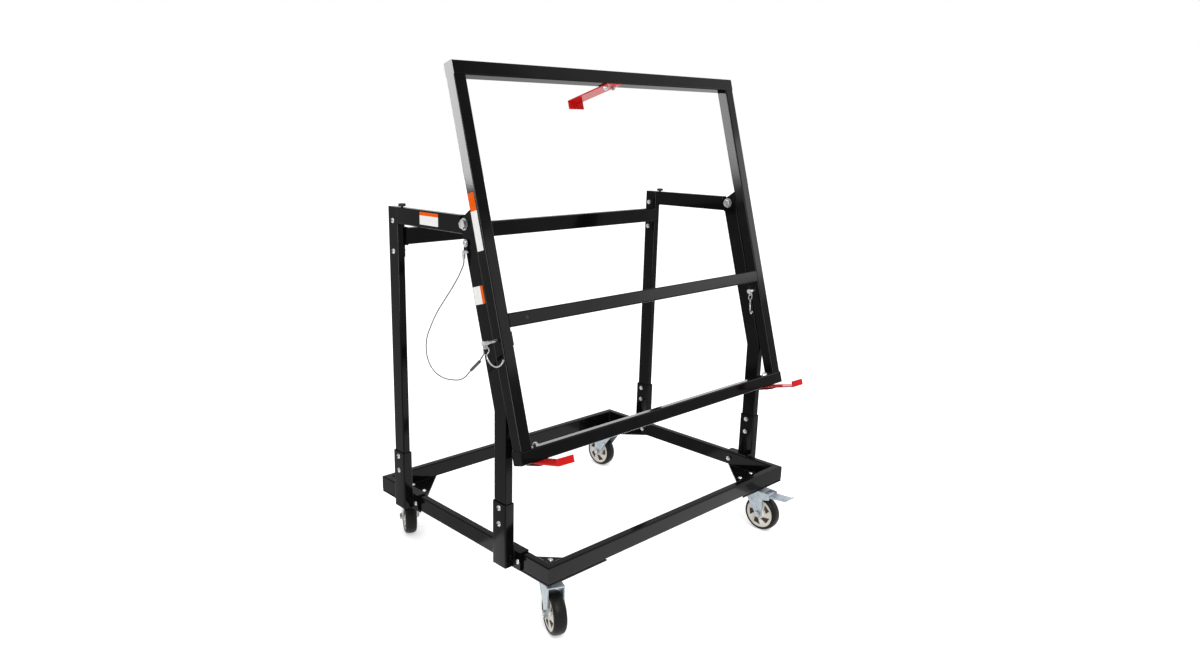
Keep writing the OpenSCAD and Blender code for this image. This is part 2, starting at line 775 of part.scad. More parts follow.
// Bent fork: a crown on the swivel's race and two side plates that narrow to a round eye at the axle
module fork(c, braked) {
    heel = -24;
    crown_r = 26;
    eye_r = 11;
    toe = trail + 10;
    cheek = 14;
    throat = 20;
    front = braked ? pedal_x + 8 : toe;
    color("#b4c0cb") at_caster(c) {
        translate([0, 0, crown_z + fork_t]) cylinder(r = crown_r, h = crown_top - crown_z - fork_t);
        cylinder_up(crown_top - 1, caster_h - 0.5, kingpin_d);
        translate([heel, -fork_gap - fork_t, crown_z])
            cube([toe - heel, 2 * (fork_gap + fork_t), fork_t]);
        for (side = [-1, 1]) translate([0, side * (fork_gap + fork_t / 2), 0])
            rotate([90, 0, 0]) linear_extrude(fork_t, center = true) difference() {
                union() {
                    polygon([[heel, crown_z + fork_t], [front, crown_z + fork_t], [front, crown_z - cheek],
                        [toe, crown_z - throat], [trail + eye_r, axle_z], [trail - eye_r, axle_z]]);
                    translate([trail, axle_z]) circle(eye_r);
                }
                translate([trail, axle_z]) circle(d = axle_d + 2 * fit);
                if (braked) translate([pedal_x, pedal_z]) circle(d = pedal_pin_d + 2 * fit);
            }
    }
}

module cylinder_up(z0, z1, d) {
    translate([0, 0, z0]) cylinder(d = d, h = z1 - z0);
}

module front_left_fork() { fork(FL, false); }

module front_right_fork() { fork(FR, true); }

module rear_left_fork() { fork(RL, false); }

module rear_right_fork() { fork(RR, true); }

// Axle bolt with its head and nut outside the fork
module axle(c) {
    grip = fork_gap + fork_t;
    hex_h = 6;
    hex_r = axle_d * 0.85;
    color("#c9cdd2") at_caster(c) translate([trail, 0, axle_z]) rotate([90, 0, 0]) {
        translate([0, 0, -grip - hex_h / 2]) cylinder(d = axle_d, h = 2 * grip + 1.5 * hex_h + 1);
        for (z = [-grip - hex_h, grip]) translate([0, 0, z]) cylinder(r = hex_r, h = hex_h, $fn = 6);
    }
}

module front_left_axle() { axle(FL); }

module front_right_axle() { axle(FR); }

module rear_left_axle() { axle(RL); }

module rear_right_axle() { axle(RR); }

// Moulded hub: a bushed boss, a web and a rim, with slanted pockets in both faces
module hub(c) {
    pockets = 5;
    boss_r = 13;
    rim_t = 7;
    half = wheel_w / 2 - 2;
    deep = 8;
    color("#e9e4d6") at_caster(c) translate([trail, 0, axle_z]) rotate([90, 0, 0]) difference() {
        union() {
            cylinder(r = rim_r, h = 2 * half, center = true);
            cylinder(r = boss_r, h = 2 * fork_gap - 1, center = true);
        }
        cylinder(d = axle_d + 2 * fit, h = far, center = true);
        for (i = [0 : pockets - 1], face = [0, 180]) rotate([face, 0, 0]) rotate([0, 0, i * 360 / pockets])
            translate([0, 0, half - deep]) linear_extrude(deep + 1)
                polygon([polar(boss_r + 3, 0), polar(boss_r + 3, 40),
                    polar(rim_r - rim_t, 62), polar(rim_r - rim_t, 26)]);
    }
}

function polar(r, a) = [r * cos(a), r * sin(a)];

module front_left_hub() { hub(FL); }

module front_right_hub() { hub(FR); }

module rear_left_hub() { hub(RL); }

module rear_right_hub() { hub(RR); }

module tyre(c) {
    round = (tread_t - slip) / 2;
    color("#232326") at_caster(c) translate([trail, 0, axle_z]) rotate([90, 0, 0]) rotate_extrude() {
        translate([rim_r + slip, -wheel_w / 2]) square([tread_t - slip - round, wheel_w]);
        translate([rim_r + slip, round - wheel_w / 2]) square([tread_t - slip, wheel_w - 2 * round]);
        for (side = [-1, 1])
            translate([wheel_d / 2 - round, side * (wheel_w / 2 - round)]) circle(round);
    }
}

module front_left_tyre() { tyre(FL); }

module front_right_tyre() { tyre(FR); }

module rear_left_tyre() { tyre(RL); }

module rear_right_tyre() { tyre(RR); }

// Pressed brake pedal on a cross pin between the fork's side plates
module pedal(c) {
    tip = pedal_reach - pedal_x;
    heel = -12;
    eye_r = 5;
    // Side outline of the plate, bent up towards its tip
    outline = [[heel, -3], [0, -eye_r], [tip - 8, 2], [tip, 7], [tip, 11], [tip - 9, 6.5], [0, 3], [heel, 2]];
    color("#8f979e") at_caster(c) translate([pedal_x, 0, pedal_z]) rotate([90, 0, 0]) {
        linear_extrude(pedal_w, center = true) union() {
            circle(eye_r);
            polygon(outline);
        }
        cylinder(d = pedal_pin_d, h = 2 * (fork_gap + fork_t), center = true);
    }
}

module front_right_pedal() { pedal(FR); }

module rear_right_pedal() { pedal(RR); }

front_base_bar();
rear_base_bar();
left_base_bar();
right_base_bar();
corner_gussets();
front_left_socket();
front_right_socket();
rear_left_socket();
rear_right_socket();
front_left_leg();
front_right_leg();
rear_left_leg();
rear_right_leg();
left_arm();
right_arm();
rear_crossbar();
table_bumpers();
lock_brackets();
leg_bolts();
caster_bolts();
caster_plates();
lanyard_clip();
left_rail();
right_rail();
top_bar();
middle_bar();
bottom_bar();
pivot_ears();
pivot_bolts();
pivot_washers();
top_hook();
top_hook_bolts();
hook_bolts();
hook_keepers();
lanyard();
lanyard_ferrule();
left_hook();
right_hook();
left_lock_pin();
right_lock_pin();
left_pin_bail();
right_pin_bail();
front_left_fork();
front_right_fork();
rear_left_fork();
rear_right_fork();
front_left_axle();
front_right_axle();
rear_left_axle();
rear_right_axle();
front_left_hub();
front_right_hub();
rear_left_hub();
rear_right_hub();
front_left_tyre();
front_right_tyre();
rear_left_tyre();
rear_right_tyre();
front_right_pedal();
rear_right_pedal();
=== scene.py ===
import json
from math import cos, pi, radians, sin, tan
import bmesh
import bpy
from mathutils import Matrix, Vector
from mathutils.geometry import interpolate_bezier

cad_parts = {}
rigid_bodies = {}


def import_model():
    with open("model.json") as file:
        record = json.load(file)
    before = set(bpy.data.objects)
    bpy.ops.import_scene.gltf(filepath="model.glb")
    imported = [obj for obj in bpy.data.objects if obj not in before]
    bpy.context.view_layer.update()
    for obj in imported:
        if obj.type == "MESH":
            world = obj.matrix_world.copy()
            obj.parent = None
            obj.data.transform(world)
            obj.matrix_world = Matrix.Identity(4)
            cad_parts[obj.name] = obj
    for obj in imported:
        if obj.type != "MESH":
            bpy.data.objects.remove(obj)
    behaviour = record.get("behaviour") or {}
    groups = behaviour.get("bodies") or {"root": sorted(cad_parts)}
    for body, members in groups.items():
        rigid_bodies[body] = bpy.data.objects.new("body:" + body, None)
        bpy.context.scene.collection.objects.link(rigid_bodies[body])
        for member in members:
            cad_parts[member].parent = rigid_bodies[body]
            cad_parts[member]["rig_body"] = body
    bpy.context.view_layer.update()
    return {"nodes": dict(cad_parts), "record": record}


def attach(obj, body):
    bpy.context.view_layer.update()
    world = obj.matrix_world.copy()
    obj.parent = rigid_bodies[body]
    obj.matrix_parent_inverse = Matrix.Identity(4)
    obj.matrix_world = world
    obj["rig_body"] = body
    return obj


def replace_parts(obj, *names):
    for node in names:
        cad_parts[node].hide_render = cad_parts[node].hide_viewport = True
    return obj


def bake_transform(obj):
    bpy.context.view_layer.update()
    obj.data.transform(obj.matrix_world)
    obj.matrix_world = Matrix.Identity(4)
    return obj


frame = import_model()
print("frame loaded:", len(frame["nodes"]), "nodes")

# sizes that the solids have too, in metres
cart = dict(
    lean=radians(16), shiftX=0.01425, baseW=0.902, baseD=0.672, barZ=0.140, barH=0.040, barT=0.020,
    legX=0.470, legW=0.020, legD=0.040, frontLegY=0.131, rearLegY=0.536, bendH=0.510, pivotH=0.905,
    railW=0.031, railD=0.030, tableH=0.865, pivotS=0.528, pivotN=0.056, middleS=0.324,
    armTop=0.922, armH=0.040, crossY=0.519, crossZ=0.8515, crossH=0.040, crossT=0.020,
    socketW=0.026, socketD=0.046, socketZ=0.146, gussetLeg=0.184)
pivotY = cart["frontLegY"] + (cart["pivotH"] - cart["bendH"]) * tan(cart["lean"])


def cartPoint(x, y, z):
    return Vector((x + cart["shiftX"], y - cart["baseD"] / 2, z))


def tablePoint(x, n, s):
    # x across, n behind the table's face, s up its lean from the lower edge
    dn = n - cart["pivotN"]
    ds = s - cart["pivotS"]
    c = cos(cart["lean"])
    k = sin(cart["lean"])
    return cartPoint(x, pivotY + dn * c + ds * k, cart["pivotH"] - dn * k + ds * c)


tableTurn = Matrix.Rotation(-cart["lean"], 4, "X")

# camera from the photograph's fitted view
view = dict(
    eye=(-1.58001, -1.55703, 1.10224), yaw=radians(41.416), pitch=radians(13.961), roll=radians(0.498),
    focal=852.271, middle=(527.743, 341.769), width=1200, height=670, sensor=36, near=0.05, far=60)


def makeCamera():
    cam = bpy.data.cameras.new("photoCamera")
    cam.sensor_fit = "HORIZONTAL"
    cam.sensor_width = view["sensor"]
    cam.lens = view["focal"] / view["width"] * view["sensor"]
    cam.shift_x = (view["width"] / 2 - view["middle"][0]) / view["width"]
    cam.shift_y = (view["middle"][1] - view["height"] / 2) / view["width"]
    cam.clip_start = view["near"]
    cam.clip_end = view["far"]
    level = Vector((sin(view["yaw"]), cos(view["yaw"]), 0))
    ahead = level * cos(view["pitch"]) - Vector((0, 0, sin(view["pitch"])))
    right = Vector((cos(view["yaw"]), -sin(view["yaw"]), 0))
    up = right.cross(ahead)
    turnedRight = right * cos(view["roll"]) + up * sin(view["roll"])
    turnedUp = up * cos(view["roll"]) - right * sin(view["roll"])
    turn = Matrix((turnedRight, turnedUp, -ahead)).transposed().to_4x4()
    obj = bpy.data.objects.new("photoCamera", cam)
    obj.matrix_world = Matrix.Translation(view["eye"]) @ turn
    bpy.context.scene.collection.objects.link(obj)
    bpy.context.scene.camera = obj


makeCamera()
print("camera placed")


# materials on Object coordinates

def nodeTree(name):
    mat = bpy.data.materials.new(name)
    mat.use_nodes = True
    tree = mat.node_tree
    shader = tree.nodes["Principled BSDF"]
    coords = tree.nodes.new("ShaderNodeTexCoord")
    return mat, tree, shader, coords


def noiseNode(tree, coords, scale, detail, rough=0.55):
    noise = tree.nodes.new("ShaderNodeTexNoise")
    noise.inputs["Scale"].default_value = scale
    noise.inputs["Detail"].default_value = detail
    noise.inputs["Roughness"].default_value = rough
    tree.links.new(coords.outputs["Object"], noise.inputs["Vector"])
    return noise


def spread(tree, source, low, high, fromLow=0.3, fromHigh=0.7):
    ramp = tree.nodes.new("ShaderNodeMapRange")
    ramp.inputs["From Min"].default_value = fromLow
    ramp.inputs["From Max"].default_value = fromHigh
    ramp.inputs["To Min"].default_value = low
    ramp.inputs["To Max"].default_value = high
    tree.links.new(source, ramp.inputs["Value"])
    return ramp.outputs["Result"]


def mixColors(tree, factor, first, second):
    mix = tree.nodes.new("ShaderNodeMix")
    mix.data_type = "RGBA"
    mix.inputs["A"].default_value = (*first, 1)
    mix.inputs["B"].default_value = (*second, 1)
    tree.links.new(factor, mix.inputs["Factor"])
    return mix.outputs["Result"]


def bumpFrom(tree, shader, height, strength, distance):
    bump = tree.nodes.new("ShaderNodeBump")
    bump.inputs["Strength"].default_value = strength
    bump.inputs["Distance"].default_value = distance
    tree.links.new(height, bump.inputs["Height"])
    tree.links.new(bump.outputs["Normal"], shader.inputs["Normal"])


# each finish takes its colour, from dark to light, and its gloss from a noise of scale patch, and its bump
# from a finer one of scale grain
noises = dict(patchDetail=4.0, grainDetail=2.0)
finishes = {
    "black_powder_coat": dict(
        dark=(0.0020, 0.0020, 0.0021), light=(0.0042, 0.0042, 0.0044), metal=0.0, gloss=(0.08, 0.13),
        patch=14, grain=1400, bump=0.03, depth=0.0002, level=0.05),
    "zinc_fastener": dict(
        dark=(0.30, 0.31, 0.33), light=(0.56, 0.57, 0.58), metal=0.95, gloss=(0.14, 0.28),
        patch=140, grain=2600, bump=0.08, depth=0.0001, level=0.5),
    "zinc_plate": dict(
        dark=(0.36, 0.42, 0.46), light=(0.52, 0.58, 0.62), metal=0.45, gloss=(0.24, 0.40),
        patch=60, grain=1900, bump=0.10, depth=0.0001, level=0.4),
    "bright_steel": dict(
        dark=(0.22, 0.22, 0.23), light=(0.52, 0.52, 0.53), metal=0.95, gloss=(0.12, 0.24),
        patch=180, grain=3000, bump=0.06, depth=0.0001, level=0.5),
    "clip_plastic": dict(
        dark=(0.66, 0.66, 0.64), light=(0.80, 0.80, 0.78), metal=0.0, gloss=(0.38, 0.55),
        patch=120, grain=1500, bump=0.12, depth=0.0001, level=0.5),
    "red_paint": dict(
        dark=(0.50, 0.007, 0.006), light=(0.64, 0.010, 0.009), metal=0.0, gloss=(0.16, 0.24),
        patch=24, grain=1500, bump=0.04, depth=0.0001, level=0.10),
    "dark_sleeve": dict(
        dark=(0.026, 0.019, 0.016), light=(0.075, 0.056, 0.046), metal=0.0, gloss=(0.30, 0.48),
        patch=260, grain=2200, bump=0.25, depth=0.0002, level=0.4),
    "cream_hub": dict(
        dark=(0.70, 0.66, 0.59), light=(0.80, 0.77, 0.70), metal=0.0, gloss=(0.30, 0.45),
        patch=50, grain=1300, bump=0.12, depth=0.0002, level=0.12),
    "black_tread": dict(
        dark=(0.0040, 0.0037, 0.0035), light=(0.0080, 0.0073, 0.0070), metal=0.0, gloss=(0.34, 0.50),
        patch=70, grain=1100, bump=0.25, depth=0.0003, level=0.15),
    "black_rubber": dict(
        dark=(0.010, 0.010, 0.010), light=(0.020, 0.020, 0.020), metal=0.0, gloss=(0.55, 0.75),
        patch=120, grain=1300, bump=0.25, depth=0.0003, level=0.35),
    "grey_pedal": dict(
        dark=(0.30, 0.34, 0.38), light=(0.46, 0.51, 0.56), metal=0.45, gloss=(0.24, 0.40),
        patch=60, grain=1900, bump=0.12, depth=0.0001, level=0.4),
    # painted shade: a darker colour for the hub's pocket floors and walls, standing in for the shade inside
    # the pockets
    "hub_pocket_shade": dict(
        dark=(0.11, 0.09, 0.075), light=(0.19, 0.16, 0.135), metal=0.0, gloss=(0.45, 0.60),
        patch=90, grain=1300, bump=0.12, depth=0.0002, level=0.05)}


def makeFinish(name, f):
    mat, tree, shader, coords = nodeTree(name)
    patches = noiseNode(tree, coords, f["patch"], noises["patchDetail"])
    grain = noiseNode(tree, coords, f["grain"], noises["grainDetail"])
    tree.links.new(mixColors(tree, spread(tree, patches.outputs["Fac"], 0, 1), f["dark"], f["light"]),
                   shader.inputs["Base Color"])
    tree.links.new(spread(tree, patches.outputs["Fac"], *f["gloss"]), shader.inputs["Roughness"])
    shader.inputs["Metallic"].default_value = f["metal"]
    shader.inputs["Specular IOR Level"].default_value = f["level"]
    bumpFrom(tree, shader, grain.outputs["Fac"], f["bump"], f["depth"])
    return mat


# stranded look: slanted bands along the cable
cableFinish = dict(
    turn=(0.5, 0.7, 0.3), scale=260, distortion=1.0, dark=(0.12, 0.12, 0.125), light=(0.24, 0.24, 0.25),
    rough=0.5, level=0.05, bump=0.5, depth=0.0004)


def makeCableFinish():
    c = cableFinish
    mat, tree, shader, coords = nodeTree("steel_cable")
    turn = tree.nodes.new("ShaderNodeMapping")
    turn.inputs["Rotation"].default_value = c["turn"]
    wave = tree.nodes.new("ShaderNodeTexWave")
    wave.inputs["Scale"].default_value = c["scale"]
    wave.inputs["Distortion"].default_value = c["distortion"]
    tree.links.new(coords.outputs["Object"], turn.inputs["Vector"])
    tree.links.new(turn.outputs["Vector"], wave.inputs["Vector"])
    tree.links.new(mixColors(tree, wave.outputs["Fac"], c["dark"], c["light"]), shader.inputs["Base Color"])
    shader.inputs["Metallic"].default_value = 0.0
    shader.inputs["Roughness"].default_value = c["rough"]
    shader.inputs["Specular IOR Level"].default_value = c["level"]
    bumpFrom(tree, shader, wave.outputs["Fac"], c["bump"], c["depth"])
    return mat


# plain white and orange for the blank label plates
labelFinish = dict(
    patch=90, patchDetail=3.0, grain=1600, grainDetail=2.0, gloss=(0.50, 0.62), level=0.0, bump=0.05,
    depth=0.0001,
    colors=dict(labelWhite=((0.80, 0.80, 0.78), (0.88, 0.88, 0.86)),
                labelOrange=((0.78, 0.105, 0.010), (0.86, 0.130, 0.016))))


def makeLabelFinish(name, dark, light):
    c = labelFinish
    mat, tree, shader, coords = nodeTree(name)
    patches = noiseNode(tree, coords, c["patch"], c["patchDetail"])
    grain = noiseNode(tree, coords, c["grain"], c["grainDetail"])
    tree.links.new(mixColors(tree, spread(tree, patches.outputs["Fac"], 0, 1), dark, light),
                   shader.inputs["Base Color"])
    tree.links.new(spread(tree, patches.outputs["Fac"], *c["gloss"]), shader.inputs["Roughness"])
    shader.inputs["Specular IOR Level"].default_value = c["level"]
    bumpFrom(tree, shader, grain.outputs["Fac"], c["bump"], c["depth"])
    return mat


finish = {name: makeFinish(name, f) for name, f in finishes.items()}
finish["steel_cable"] = makeCableFinish()
for name, colors in labelFinish["colors"].items():
    finish[name] = makeLabelFinish(name, *colors)

for entry in frame["record"]["subparts"]:
    obj = bpy.data.objects[entry["node"]]
    obj.data.materials.clear()
    obj.data.materials.append(finish[entry["material_slot"]])


# shared mesh helpers
smoothAngle = radians(40)
joinGap = 1e-6


def addPiece(bm, name, body, slot, materials=None, smooth=True):
    bmesh.ops.recalc_face_normals(bm, faces=bm.faces[:])
    mesh = bpy.data.meshes.new(name)
    bm.to_mesh(mesh)
    bm.free()
    for mat in materials or [finish[slot]]:
        mesh.materials.append(mat)
    if smooth:
        mesh.shade_smooth()
        mesh.set_sharp_from_angle(angle=smoothAngle)
    obj = bpy.data.objects.new(name, mesh)
    bpy.context.scene.collection.objects.link(obj)
    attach(obj, body)
    return obj


# lanyard: steel cable from the clip on the left leg to the lock pin's ring, with its route in millimetres
# from the pivot's axis at the left leg
lanyard = dict(
    radius=0.0015, resolution=10, roundness=4, samples=3,
    route=[(-18, 0, -74), (-18, 0, -82), (-19, 8, -100), (-22, 34, -138), (-25, 62, -172), (-28, 90, -207),
           (-30, 112, -242), (-32, 125, -270), (-33, 128, -296), (-35, 119, -321), (-37, 97, -340),
           (-39, 64, -349), (-41, 22, -347), (-43, -26, -333), (-44, -57, -307)])


def makeLanyard():
    points = [cartPoint(x / 1000 - cart["legX"], pivotY + y / 1000, cart["pivotH"] + z / 1000)
              for x, y, z in lanyard["route"]]
    curve = bpy.data.curves.new("lanyardCable", "CURVE")
    curve.dimensions = "3D"
    curve.resolution_u = lanyard["resolution"]
    curve.bevel_depth = lanyard["radius"]
    curve.bevel_resolution = lanyard["roundness"]
    curve.use_fill_caps = True
    spline = curve.splines.new("BEZIER")
    spline.bezier_points.add(len(points) - 1)
    for knot, point in zip(spline.bezier_points, points):
        knot.co = point
        knot.handle_left_type = "AUTO"
        knot.handle_right_type = "AUTO"
    guide = bpy.data.objects.new("lanyardGuide", curve)
    bpy.context.scene.collection.objects.link(guide)
    bpy.context.view_layer.update()
    path = []
    for a, b in zip(spline.bezier_points, spline.bezier_points[1:]):
        path += interpolate_bezier(a.co, a.handle_right, b.handle_left, b.co, lanyard["samples"])[:-1]
    path.append(points[-1])
    mesh = bpy.data.meshes.new_from_object(guide)  # the guide curve becomes a tube
    bpy.data.objects.remove(guide)
    mesh.materials.clear()
    mesh.materials.append(finish["steel_cable"])
    obj = bpy.data.objects.new("lanyardCable", mesh)
    bpy.context.scene.collection.objects.link(obj)
    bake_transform(obj)
    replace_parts(obj, "lanyard")


makeLanyard()
print("lanyard routed")

# softened copies of plain pressed and bent pieces: width is the rounding of an edge, and least is the length
# above which an edge gets it
softening = dict(flat=radians(1), corner=radians(50), crease=radians(35))
legRound = dict(width=0.0014, least=0.05, segments=4)
socketRound = dict(width=0.0007, least=0.006, segments=2)
hookRound = dict(width=0.0007, least=0.01, segments=2)
softened = {
    "front_left_leg": legRound, "front_right_leg": legRound,
    "front_left_socket": socketRound, "front_right_socket": socketRound,
    "rear_left_socket": socketRound, "rear_right_socket": socketRound,
    "corner_gussets": dict(width=0.0008, least=0.01, segments=2),
    "lock_brackets": dict(width=0.0008, least=0.004, segments=2),
    "top_hook": hookRound, "left_hook": hookRound, "right_hook": hookRound,
    "pivot_ears": dict(width=0.0006, least=0.01, segments=2),
    "pivot_bolts": dict(width=0.0016, least=0.009, segments=1)}


def softenNode(node, s):
    source = frame["nodes"][node]
    bm = bmesh.new()
    bm.from_mesh(source.data)
    bmesh.ops.remove_doubles(bm, verts=bm.verts[:], dist=joinGap)
    bmesh.ops.dissolve_limit(bm, angle_limit=softening["flat"], verts=bm.verts[:], edges=bm.edges[:])
    edges = [e for e in bm.edges if len(e.link_faces) == 2 and e.is_convex
             and e.calc_length() > s["least"] and e.calc_face_angle() > softening["corner"]]
    made = bmesh.ops.bevel(bm, geom=edges, offset=s["width"], affect="EDGES", segments=s["segments"],
                           profile=0.5, material=-1, clamp_overlap=True)
    rounded = set(made["faces"])
    for edge in bm.edges:
        # the flat faces keep their own shading up to the rounding
        sides = [face in rounded for face in edge.link_faces]
        edge.smooth = (len(sides) == 2 and sides[0] == sides[1]
                       and edge.calc_face_angle() < softening["crease"])
    for face in bm.faces:
        face.smooth = True
    bmesh.ops.triangulate(bm, faces=[f for f in bm.faces if len(f.verts) > 4])
    mesh = bpy.data.meshes.new(node + "Soft")
    bm.to_mesh(mesh)
    bm.free()
    mesh.materials.append(source.data.materials[0])
    obj = bpy.data.objects.new(node + "Soft", mesh)
    bpy.context.scene.collection.objects.link(obj)
    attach(obj, source["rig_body"])
    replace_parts(obj, node)


for node, s in softened.items():
    softenNode(node, s)
print("softened", len(softened), "nodes")

# weld beads where the tubes and plates meet, with how far each run stays from the ends of its seam
weld = dict(
    radius=0.0022, pitch=0.0042, ripple=0.16, sides=8, stepsPerPitch=4, leastSteps=3, longShare=0.9,
    railInset=0.004, backInset=0.001, plateT=0.004, crossInset=0.003,
    socketInset=0.001, socketOver=0.003, barInset=0.001, gussetStart=0.045, gussetEnd=0.022)


def addBead(bm, start, end):
    run = end - start
    bead = bmesh.new()
    bmesh.ops.create_cone(bead, cap_ends=True, segments=weld["sides"], radius1=weld["radius"],
                          radius2=weld["radius"], depth=run.length)
    longEdges = [e for e in bead.edges if e.calc_length() > run.length * weld["longShare"]]
    steps = max(weld["leastSteps"], int(run.length / weld["pitch"] * weld["stepsPerPitch"]))
    bmesh.ops.subdivide_edges(bead, edges=longEdges, cuts=steps)
    for v in bead.verts:
        swell = 1 + weld["ripple"] * cos(2 * pi * v.co.z / weld["pitch"])
        v.co.x *= swell
        v.co.y *= swell
    place = Matrix.Translation((start + end) / 2) @ run.to_track_quat("Z", "Y").to_matrix().to_4x4()
    bmesh.ops.transform(bead, matrix=place, verts=bead.verts[:])
    mesh = bpy.data.meshes.new("bead")
    bead.to_mesh(mesh)
    bead.free()
    bm.from_mesh(mesh)
    bpy.data.meshes.remove(mesh)


def makeTableWelds():
    c = cart
    bm = bmesh.new()
    backN = c["railD"] - weld["backInset"]
    lowS = c["middleS"] - c["railW"]
    for side in (-1, 1):
        x = side * (c["legX"] - c["railW"] / 2)
        for s in (c["railW"], c["tableH"] - c["railW"], c["middleS"], lowS):
            addBead(bm, tablePoint(x, weld["railInset"], s), tablePoint(x, c["railD"] - weld["railInset"], s))
        addBead(bm, tablePoint(x, backN, lowS), tablePoint(x, backN, c["middleS"]))
    addPiece(bm, "tableWelds", "table", "black_powder_coat")


def addArmBeads(bm, side):
    c = cart
    x = side * c["legX"]
    halfLeg = c["legW"] / 2
    low = c["armTop"] - c["armH"]
    rearFace = c["rearLegY"] - c["legD"] / 2
    frontFace = pivotY + (c["legD"] / 2) / cos(c["lean"])
    backY = frontFace + (low - c["pivotH"]) * tan(c["lean"])
    for y in (rearFace, backY):
        addBead(bm, cartPoint(x - halfLeg, y, low), cartPoint(x + halfLeg, y, low))


def addCrossbarBeads(bm, side):
    c = cart
    x = side * (c["legX"] - c["legW"] / 2 - weld["plateT"])
    half = c["crossT"] / 2 - weld["barInset"]
    rise = c["crossH"] / 2 - weld["crossInset"]
    backY = c["crossY"] + c["crossT"] / 2
    for end in (-1, 1):
        z = c["crossZ"] + end * c["crossH"] / 2
        addBead(bm, cartPoint(x, c["crossY"] - half, z), cartPoint(x, c["crossY"] + half, z))
    addBead(bm, cartPoint(x, backY, c["crossZ"] - rise), cartPoint(x, backY, c["crossZ"] + rise))


def addSocketBeads(bm, side):
    c = cart
    x = side * (c["legX"] - c["socketW"] / 2)
    for legY in (c["frontLegY"], c["rearLegY"]):
        for end in (-1, 1):
            y = legY + end * (c["socketD"] / 2 - weld["socketInset"])
            addBead(bm, cartPoint(x, y, c["socketZ"] + weld["socketInset"]),
                    cartPoint(x, y, c["barZ"] + c["barH"] + weld["socketOver"]))


def addCornerBeads(bm, side):
    c = cart
    x = side * (c["baseW"] / 2 - c["barT"])
    z = c["barZ"]
    reach = c["gussetLeg"] - c["barT"] - weld["gussetEnd"]
    for y, way in ((c["barT"], 1), (c["baseD"] - c["barT"], -1)):
        addBead(bm, cartPoint(x, y, z + weld["barInset"]), cartPoint(x, y, z + c["barH"] - weld["barInset"]))
        addBead(bm, cartPoint(x, y + way * weld["gussetStart"], z), cartPoint(x, y + way * reach, z))
        addBead(bm, cartPoint(x - side * weld["gussetStart"], y, z), cartPoint(x - side * reach, y, z))


def makeChassisWelds():
    bm = bmesh.new()
    for side in (-1, 1):
        addArmBeads(bm, side)
        addCrossbarBeads(bm, side)
        addSocketBeads(bm, side)
        addCornerBeads(bm, side)
    addPiece(bm, "chassisWelds", "chassis", "black_powder_coat")


makeTableWelds()
makeChassisWelds()
print("welds laid")

# blank two-tone plates where the frame carries labels, each with a coloured head
labels = dict(
    thick=0.0004, corner=0.002, cornerSteps=4,
    arm=dict(middle=(0.3850, 0.9037), size=(0.072, 0.029), head=0.008),
    rail=dict(middle=(0.0163, 0.525), size=(0.021, 0.124), head=0.039),
    leg=dict(middle=(0.0562, 0.3727), size=(0.039, 0.0345), head=0.009))


def makeLabel(name, body, middle, across, up, out, size, head):
    bm = bmesh.new()
    turn = Matrix((across, up, out)).transposed().to_4x4()
    bmesh.ops.create_cube(bm, size=1)
    bmesh.ops.scale(bm, vec=(size[0], size[1], labels["thick"]), verts=bm.verts[:])
    corners = [e for e in bm.edges if abs(e.verts[0].co.z - e.verts[1].co.z) > labels["thick"] / 2]
    bmesh.ops.bevel(bm, geom=corners, offset=labels["corner"], affect="EDGES", segments=labels["cornerSteps"],
                    profile=0.5, material=-1)
    cutY = size[1] / 2 - head
    bmesh.ops.bisect_plane(bm, geom=bm.verts[:] + bm.edges[:] + bm.faces[:], plane_co=(0, cutY, 0),
                           plane_no=(0, 1, 0))
    for face in bm.faces:
        face.material_index = 1 if face.calc_center_median().y > cutY else 0
    place = Matrix.Translation(middle + out * labels["thick"] / 2) @ turn
    bmesh.ops.transform(bm, matrix=place, verts=bm.verts[:])
    addPiece(bm, name, body, "clip_plastic", [finish["labelWhite"], finish["labelOrange"]], smooth=False)


outX = Vector((-1, 0, 0))
slope = tableTurn.to_3x3() @ Vector((0, 0, 1))
forward = tableTurn.to_3x3() @ Vector((0, -1, 0))
makeLabel("armPlate", "chassis", cartPoint(-cart["legX"] - cart["legW"] / 2, *labels["arm"]["middle"]),
          Vector((0, -1, 0)), Vector((0, 0, 1)), outX, labels["arm"]["size"], labels["arm"]["head"])
makeLabel("railPlate", "table", tablePoint(-cart["legX"] - cart["railW"] / 2, *labels["rail"]["middle"]),
          forward, slope, outX, labels["rail"]["size"], labels["rail"]["head"])
makeLabel("legPlate", "chassis", tablePoint(-cart["legX"] - cart["legW"] / 2, *labels["leg"]["middle"]),
          -slope, forward, outX, labels["leg"]["size"], labels["leg"]["head"])
print("label plates placed")

# small plugs in the middle bar's front face
plugs = dict(places=(-0.405, 0, 0.405), radius=0.0042, top=0.0026, height=0.0012, sides=28)


def makePlugs():
    bm = bmesh.new()
    out = tableTurn @ Matrix.Rotation(pi / 2, 4, "X")
    for x in plugs["places"]:
        made = bmesh.ops.create_cone(bm, cap_ends=True, segments=plugs["sides"], radius1=plugs["radius"],
                                     radius2=plugs["top"], depth=plugs["height"])
        middle = tablePoint(x, -plugs["height"] / 2, cart["middleS"] - cart["railW"] / 2)
        bmesh.ops.transform(bm, matrix=Matrix.Translation(middle) @ out, verts=made["verts"])
    addPiece(bm, "middleBarPlugs", "table", "black_rubber")


makePlugs()

